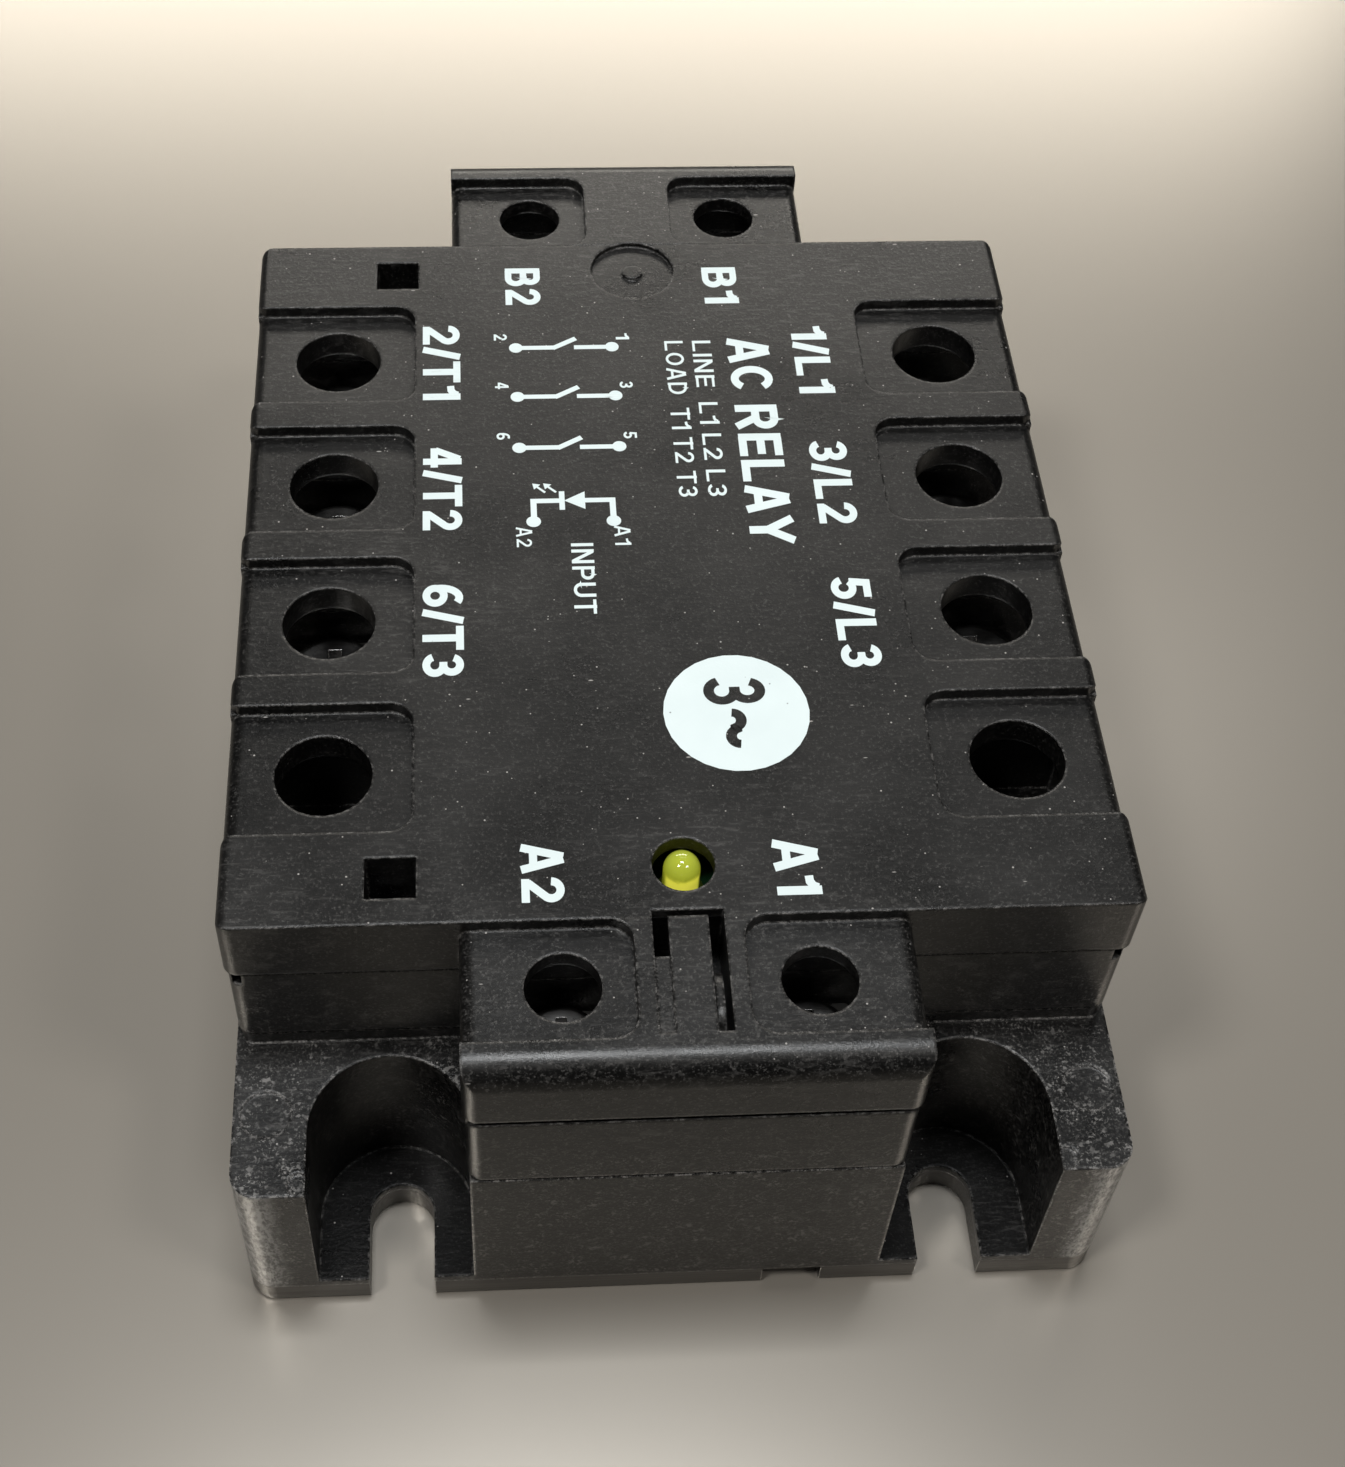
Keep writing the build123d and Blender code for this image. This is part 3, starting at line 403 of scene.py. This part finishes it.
# Bold sans capitals and figures, one unit high. Each is its width and the centre lines of its strokes.
STEM = [(0.1, 0.0), (0.1, 1.0)]
GLYPHS = {
    " ": (0.22, []),
    "/": (0.34, [[(0.05, 0.0), (0.29, 1.0)]]),
    "1": (0.44, [[(0.34, 0.0), (0.34, 1.0)], [(0.02, 0.74), (0.15, 0.75), (0.25, 0.82), (0.29, 0.93)]]),
    "2": (0.62, [bend(0.31, 0.69, 0.2, 0.215, 180, -35) + [(0.13, 0.14)], [(0.04, 0.09), (0.6, 0.09)]]),
    "3": (0.62, [bend(0.3, 0.705, 0.19, 0.2, 165, -90), bend(0.3, 0.3, 0.21, 0.205, 90, -165),
                 [(0.22, 0.505), (0.34, 0.505)]]),
    "4": (0.64, [[(0.44, 0.0), (0.44, 1.0)], [(0.37, 0.95), (0.09, 0.32)], [(0.03, 0.29), (0.62, 0.29)]]),
    "5": (0.62, [[(0.56, 0.9), (0.17, 0.9), (0.13, 0.47)], bend(0.3, 0.32, 0.21, 0.225, 142, -165)]),
    "6": (0.62, [bend(0.31, 0.31, 0.205, 0.215, 0, 360), bend(0.37, 0.45, 0.265, 0.455, 190, 62)]),
    "A": (0.72, [[(0.09, 0.0), (0.33, 1.0)], [(0.63, 0.0), (0.39, 1.0)], [(0.2, 0.29), (0.52, 0.29)]]),
    "B": (0.68, [STEM, [(0.1, 0.91), (0.36, 0.91)] + bend(0.37, 0.715, 0.17, 0.195, 90, -90) + [(0.1, 0.52)],
                 [(0.3, 0.53), (0.38, 0.53)] + bend(0.38, 0.31, 0.2, 0.22, 90, -90) + [(0.1, 0.09)]]),
    "C": (0.70, [bend(0.37, 0.5, 0.27, 0.41, 38, 322)]),
    "D": (0.70, [STEM, [(0.1, 0.91), (0.3, 0.91)] + bend(0.3, 0.5, 0.3, 0.41, 90, -90) + [(0.1, 0.09)]]),
    "E": (0.62, [STEM, [(0.1, 0.91), (0.6, 0.91)], [(0.1, 0.51), (0.56, 0.51)], [(0.1, 0.09), (0.61, 0.09)]]),
    "I": (0.2, [STEM]),
    "L": (0.58, [[(0.1, 1.0), (0.1, 0.09), (0.57, 0.09)]]),
    "N": (0.70, [STEM, [(0.6, 0.0), (0.6, 1.0)], [(0.13, 0.95), (0.57, 0.05)]]),
    "O": (0.76, [bend(0.38, 0.5, 0.28, 0.41, 0, 360)]),
    "P": (0.66, [STEM, [(0.1, 0.91), (0.38, 0.91)] + bend(0.38, 0.68, 0.19, 0.23, 90, -90) + [(0.1, 0.45)]]),
    "R": (0.70, [STEM, [(0.1, 0.91), (0.38, 0.91)] + bend(0.38, 0.69, 0.19, 0.22, 90, -90) + [(0.1, 0.47)],
                 [(0.36, 0.47), (0.6, 0.0)]]),
    "T": (0.64, [[(0.0, 0.91), (0.64, 0.91)], [(0.32, 0.0), (0.32, 1.0)]]),
    "U": (0.70, [[(0.1, 1.0), (0.1, 0.36)] + bend(0.35, 0.36, 0.25, 0.27, 180, 360) + [(0.6, 1.0)]]),
    "Y": (0.68, [[(0.06, 1.0), (0.34, 0.42)], [(0.62, 1.0), (0.34, 0.42)], [(0.34, 0.0), (0.34, 0.5)]]),
    "~": (0.80, [bend(0.22, 0.42, 0.16, 0.14, 180, 20) + bend(0.56, 0.52, 0.16, 0.14, 200, 360)]),
}

# The gap between two letters and the width of a bold stroke, in the same unit
LETTER_GAP = 0.09
BOLD = 0.19


class Print:
    """One printed piece: flat ink shapes gathered in a single mesh."""

    def __init__(self, name, layer=0):
        self.name = name
        self.mesh = bmesh.new()
        self.strokes = 0
        self.lift = layer * INK_STEP

    def levels(self):
        """Underside and top of the next shape. Each is a hair above the last, so that none share a face."""
        self.strokes += 1
        rise = self.lift + (self.strokes % INK_LEVELS) * INK_HAIR
        return LABEL_Z - INK_SINK + rise, LABEL_Z + INK_HEIGHT + rise

    def strip(self, left, right, closed=False):
        """A flat band between two matching rows of points, in millimetres."""
        bottom, top = self.levels()
        rows = []
        for points, z in ((left, top), (right, top), (right, bottom), (left, bottom)):
            rows.append([self.mesh.verts.new((x * MM, y * MM, z)) for x, y in points])
        count = len(left)
        for here in range(count if closed else count - 1):
            there = (here + 1) % count
            for row in range(4):
                a = rows[row]
                b = rows[(row + 1) % 4]
                self.mesh.faces.new((a[here], b[here], b[there], a[there]))
        if not closed:
            self.mesh.faces.new([row[0] for row in rows[::-1]])
            self.mesh.faces.new([row[-1] for row in rows])

    def stroke(self, points, width, place=lambda point: point):
        """A band of even width along a line of points, mitred at its corners."""
        closed = (Vector(points[0]) - Vector(points[-1])).length < SAME_POINT
        path = [Vector(point) for point in (points[:-1] if closed else points)]
        left = []
        right = []
        for here, point in enumerate(path):
            before = path[here - 1] if here or closed else None
            after = path[(here + 1) % len(path)] if here + 1 < len(path) or closed else None
            arriving = (point - before).normalized() if before else (after - point).normalized()
            leaving = (after - point).normalized() if after else arriving
            across = Vector((-arriving.y - leaving.y, arriving.x + leaving.x)).normalized()
            reach = 0.5 * width / max(MITRE_LIMIT, across.dot(Vector((-arriving.y, arriving.x))))
            left.append(place(point + across * reach))
            right.append(place(point - across * reach))
        self.strip(left, right, closed)

    def outline(self, points):
        """A flat shape given by its corners, counter-clockwise, in millimetres."""
        bottom, top = self.levels()
        low = [self.mesh.verts.new((x * MM, y * MM, bottom)) for x, y in points]
        high = [self.mesh.verts.new((x * MM, y * MM, top)) for x, y in points]
        self.mesh.faces.new(high)
        self.mesh.faces.new(low[::-1])
        for here in range(len(points)):
            there = (here + 1) % len(points)
            self.mesh.faces.new((low[here], low[there], high[there], high[here]))

    def disc(self, centre, radius):
        """A flat disc, in millimetres."""
        self.outline([(centre[0] + x, centre[1] + y) for x, y in bend(0, 0, radius, radius, 0, 360)[:-1]])

    def words(self, text, centre, height, length, weight=BOLD):
        """Sans lettering that reads along -Y with its tops towards +X, fitted to a height and a length."""
        natural = sum(GLYPHS[letter][0] + LETTER_GAP for letter in text) - LETTER_GAP
        start = 0.0
        for letter in text:
            width, strokes = GLYPHS[letter]

            def place(point, start=start):
                along = (start + point[0]) / natural
                return centre[0] + (point[1] - 0.5) * height, centre[1] - (along - 0.5) * length

            for points in strokes:
                self.stroke(points, weight, place)
            start += width + LETTER_GAP

    def finish(self, material=INK):
        """Turns the shapes into one piece that rides the housing."""
        flat = bpy.data.meshes.new(self.name)
        bmesh.ops.recalc_face_normals(self.mesh, faces=self.mesh.faces)
        self.mesh.to_mesh(flat)
        self.mesh.free()
        flat.materials.append(material)
        piece = bpy.data.objects.new(self.name, flat)
        bpy.context.scene.collection.objects.link(piece)
        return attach(piece, HOUSING)


# Terminal designations, in millimetres: words, centre, letter height and length
CONTROL_MARKS = (
    ("B2", (-11.0, 34.0), 3.45, 5.5),
    ("B1", (8.65, 33.85), 3.4, 5.4),
    ("A2", (-11.27, -35.75), 3.4, 5.7),
    ("A1", (9.07, -35.8), 3.6, 5.4),
)
LOAD_MARKS = (
    ("2/T1", (-19.07, 23.3), 3.55, 10.4),
    ("4/T2", (-19.04, 6.6), 3.55, 10.5),
    ("6/T3", (-19.06, -10.3), 3.55, 10.5),
)
LINE_MARKS = (
    ("1/L1", (16.74, 23.0), 3.45, 9.5),
    ("3/L2", (16.85, 6.6), 3.55, 10.6),
    ("5/L3", (16.95, -10.3), 3.55, 10.4),
)
for name, marks in (("print_control_marks", CONTROL_MARKS), ("print_load_marks", LOAD_MARKS),
                    ("print_line_marks", LINE_MARKS)):
    sheet = Print(name)
    for text, centre, height, length in marks:
        sheet.words(text, centre, height, length)
    sheet.finish()

title = Print("print_title")
title.words("AC RELAY", (10.6, 12.6), 4.0, 27.0)
title.finish()

duty = Print("print_duty_rows")
duty.words("LINE  L1 L2 L3", (6.1, 15.4), 1.85, 21.0, weight=0.13)
duty.words("LOAD  T1 T2 T3", (3.4, 15.4), 1.85, 21.0, weight=0.13)
duty.words("INPUT", (-6.6, -4.6), 2.0, 8.4, weight=0.14)
duty.finish()

# Wiring symbol, first its three switched poles: a contact at each end and an open blade between them
STROKE = 0.55
DOT_R = 0.66
LOAD_X = -11.9
HINGE_X = -8.2
CATCH_X = -6.27
LINE_X = -2.6
POLE_ROWS = ((25.13, "2", "1"), (18.37, "4", "3"), (11.6, "6", "5"))
symbol = Print("print_wiring_symbol")
dots = Print("print_wiring_dots", layer=1)
for y, load_digit, line_digit in POLE_ROWS:
    symbol.stroke([(LOAD_X, y), (HINGE_X, y)], STROKE)
    symbol.stroke([(HINGE_X - 0.15, y - 0.1), (CATCH_X + 0.2, y + 1.25)], STROKE)
    symbol.stroke([(CATCH_X, y), (LINE_X, y)], STROKE)
    dots.disc((LOAD_X, y), DOT_R)
    dots.disc((LINE_X, y), DOT_R)
    symbol.words(load_digit, (LOAD_X - 1.46, y + 1.55), 1.3, 0.95, weight=0.16)
    symbol.words(line_digit, (LINE_X + 1.1, y + 1.45), 1.3, 0.95, weight=0.16)

# Then its input: a diode with two arrows of light, between the leads down to A2 and A1
INPUT_Y = 4.8
INPUT_END_Y = 2.2
A2_X = -10.8
A1_X = -3.6
CATHODE_X = -8.2
ANODE_X = -6.1
dots.disc((A2_X - 0.05, INPUT_END_Y + 0.05), DOT_R)
dots.disc((A1_X, INPUT_END_Y), DOT_R)
symbol.stroke([(A2_X, INPUT_END_Y + 0.05), (A2_X, INPUT_Y + STROKE / 2)], STROKE)
symbol.stroke([(A1_X, INPUT_END_Y), (A1_X, INPUT_Y + STROKE / 2)], STROKE)
symbol.stroke([(A2_X + 0.2, INPUT_Y), (CATHODE_X, INPUT_Y)], STROKE)
symbol.stroke([(ANODE_X - 0.2, INPUT_Y), (A1_X - 0.2, INPUT_Y)], STROKE)
dots.stroke([(CATHODE_X, INPUT_Y - 1.15), (CATHODE_X, INPUT_Y + 1.15)], 0.5)
dots.outline([(CATHODE_X + 0.2, INPUT_Y), (ANODE_X, INPUT_Y - 1.1), (ANODE_X, INPUT_Y + 1.1)])
for tail_x in (CATHODE_X - 1.5, CATHODE_X - 0.5):
    tail = (tail_x, INPUT_Y + 1.05)
    tip = (tail_x - 1.15, INPUT_Y + 2.2)
    symbol.stroke([tail, (tip[0] + 0.3, tip[1] - 0.3)], 0.22)
    symbol.outline([tip, (tip[0] + 0.15, tip[1] - 0.75), (tip[0] + 0.75, tip[1] - 0.15)])
symbol.words("A2", (A2_X - 0.95, 0.4), 1.45, 2.5, weight=0.13)
symbol.words("A1", (A1_X + 0.7, 0.4), 1.45, 2.5, weight=0.13)
symbol.finish()
dots.finish()

# A plain disc that says three-phase alternating current
MARK_CENTRE = (5.6, -20.0)
MARK_R = 6.2
mark = Print("print_phase_disc")
mark.disc(MARK_CENTRE, MARK_R)
mark.finish()
knockout = Print("print_phase_figure", layer=2)
knockout.words("3~", MARK_CENTRE, 5.4, 7.6, weight=0.17)
knockout.finish(FINISHES["housing_plastic"])


# ---------------------------------------------------------------- floor, light and camera

FLOOR_HALF = 3.0
FLOOR_DROP = 0.05 * MM


def plain_floor():
    """Large pale sheet, a hair under the object."""
    mesh = bpy.data.meshes.new("floor")
    signs = ((-1, -1), (1, -1), (1, 1), (-1, 1))
    mesh.from_pydata([(x * FLOOR_HALF, y * FLOOR_HALF, -FLOOR_DROP) for x, y in signs], [], [(0, 1, 2, 3)])
    floor = bpy.data.objects.new("floor", mesh)
    bpy.context.scene.collection.objects.link(floor)
    look = Surface("floor", Roughness=0.26, Metallic=0.50)
    look.shader.inputs["Base Color"].default_value = (0.40, 0.37, 0.325, 1.0)
    mesh.materials.append(look.material)


def soft_light(name, place, aim, size, power, colour):
    """Rectangular soft light aimed at a point."""
    light = bpy.data.lights.new(name, "AREA")
    light.shape = "RECTANGLE"
    light.size, light.size_y = size
    light.energy = power
    light.color = colour
    lamp = bpy.data.objects.new(name, light)
    lamp.location = place
    lamp.visible_camera = False
    lamp.rotation_euler = (Vector(aim) - Vector(place)).to_track_quat("-Z", "Y").to_euler()
    bpy.context.scene.collection.objects.link(lamp)


def surroundings(level):
    """Even, faint grey light from all round."""
    world = bpy.data.worlds.new("studio")
    world.use_nodes = True
    world.node_tree.nodes["Background"].inputs["Color"].default_value = grey(level)
    bpy.context.scene.world = world


# The camera's turn is in degrees about X, Y and Z. Its focal length is in millimetres on a 36 mm sensor, and
# its shift is a share of the picture's longer side
CAMERA_PLACE = (-15.084 * MM, -134.282 * MM, 185.231 * MM)
CAMERA_TURN = (39.037, -1.713, -3.023)
FOCAL_LENGTH = 54.464
LENS_SHIFT = (0.03895, -0.04294)


def camera():
    """Looks down the length of the body from above the A1/A2 end."""
    lens = bpy.data.cameras.new("camera")
    lens.lens = FOCAL_LENGTH
    lens.shift_x, lens.shift_y = LENS_SHIFT
    lens.clip_start = 10 * MM
    eye = bpy.data.objects.new("camera", lens)
    eye.location = CAMERA_PLACE
    eye.rotation_euler = [math.radians(angle) for angle in CAMERA_TURN]
    bpy.context.scene.collection.objects.link(eye)
    bpy.context.scene.camera = eye


# Name, place, aim, width and height, power and colour of each light, in metres and watts
LIGHTS = (
    ("window", (0.05, 1.30, 0.68), (0, 0.05, 0), (1.2, 0.24), 7.4, (1.0, 0.95, 0.86)),
    ("overhead", (0.0, 0.03, 0.85), (0, 0, 0), (0.24, 0.14), 3.0, (0.97, 0.99, 1.0)),
    ("fill", (0.12, 0.64, 0.80), (0, 0, 0), (0.6, 0.2), 0.38, (1.0, 0.99, 0.96)),
    ("left", (-0.33, -0.24, 0.80), (0, 0, 0.01), (0.14, 0.14), 3.0, (1.0, 0.98, 0.94)),
    ("right", (0.40, -0.30, 0.75), (0, 0, 0.01), (0.16, 0.16), 1.6, (1.0, 0.96, 0.91)),
)
SURROUNDINGS = 0.034

plain_floor()
surroundings(SURROUNDINGS)
for light in LIGHTS:
    soft_light(*light)
camera()
bpy.context.scene.view_settings.view_transform = "Standard"
